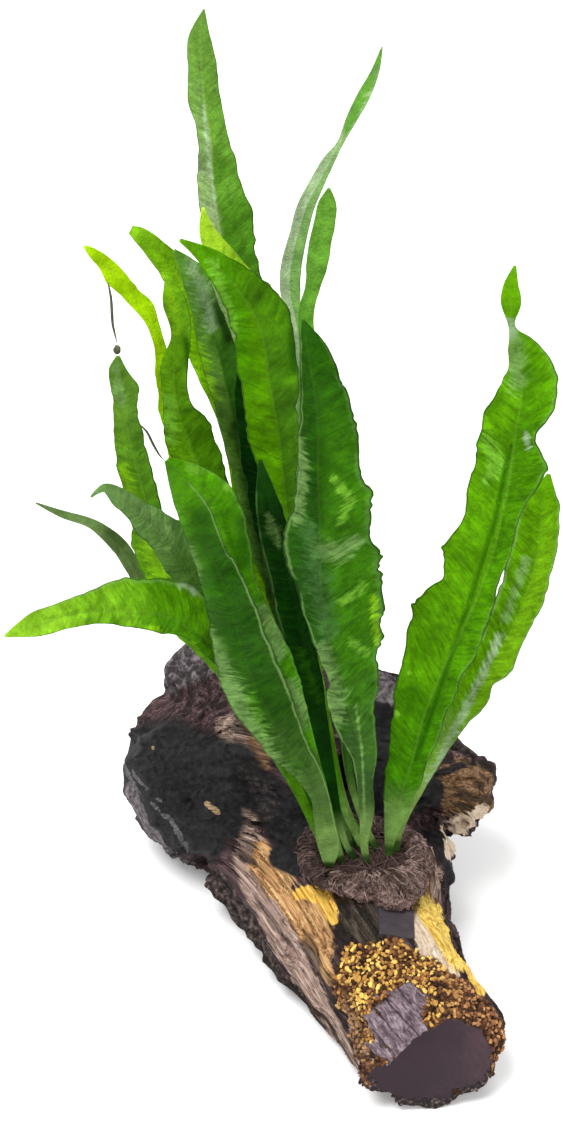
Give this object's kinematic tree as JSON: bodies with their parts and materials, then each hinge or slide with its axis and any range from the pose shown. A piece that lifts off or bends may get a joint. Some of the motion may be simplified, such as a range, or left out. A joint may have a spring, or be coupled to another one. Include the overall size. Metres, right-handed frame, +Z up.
{
  "type": "java fern on driftwood",
  "caption": "Aquarium fern with long strap leaves rising from a rhizome and root mat on a forked, weathered log with a sawn end.",
  "frame": {"origin": "on the flat underside of the wood, straight below the foot of the plant", "axes": "+Z up, +X to the right and -Y towards the viewer, where the sawn end of the front branch points"},
  "size_m": [0.1508, 0.1526, 0.2884],
  "materials": {
    "driftwood": "weathered, dark brown to charcoal with ochre patches",
    "root_fibre": "matted purple-brown fibre",
    "rhizome": "damp green-brown",
    "leaf_deep_green": "glossy deep green",
    "leaf_bright_green": "glossy bright green",
    "leaf_yellow_green": "glossy yellow-green"
  },
  "bodies": {
    "root": {"driftwood_front_branch": "driftwood", "driftwood_left_limb": "driftwood", "driftwood_right_stub": "driftwood", "root_mat": "root_fibre", "rhizome": "rhizome", "leaf_tall_back": "leaf_deep_green", "leaf_thin_twisted": "leaf_deep_green", "leaf_short_folded": "leaf_deep_green", "leaf_blunt_tip": "leaf_deep_green", "leaf_grey_back": "leaf_deep_green", "leaf_beaded": "leaf_deep_green", "leaf_curled_tip": "leaf_deep_green", "leaf_thin_dark": "leaf_deep_green", "leaf_front_left": "leaf_deep_green", "leaf_large_glossy": "leaf_deep_green", "leaf_dark_centre": "leaf_deep_green", "leaf_dark_low": "leaf_deep_green", "leaf_broad_bright": "leaf_bright_green", "leaf_big_right": "leaf_bright_green", "leaf_low_left": "leaf_bright_green", "leaf_behind_front": "leaf_bright_green", "leaf_two_tone": "leaf_bright_green", "leaf_yellow_tip": "leaf_yellow_green", "leaf_ragged_yellow": "leaf_yellow_green", "leaf_right_behind": "leaf_yellow_green"}
  },
  "joints": []
}
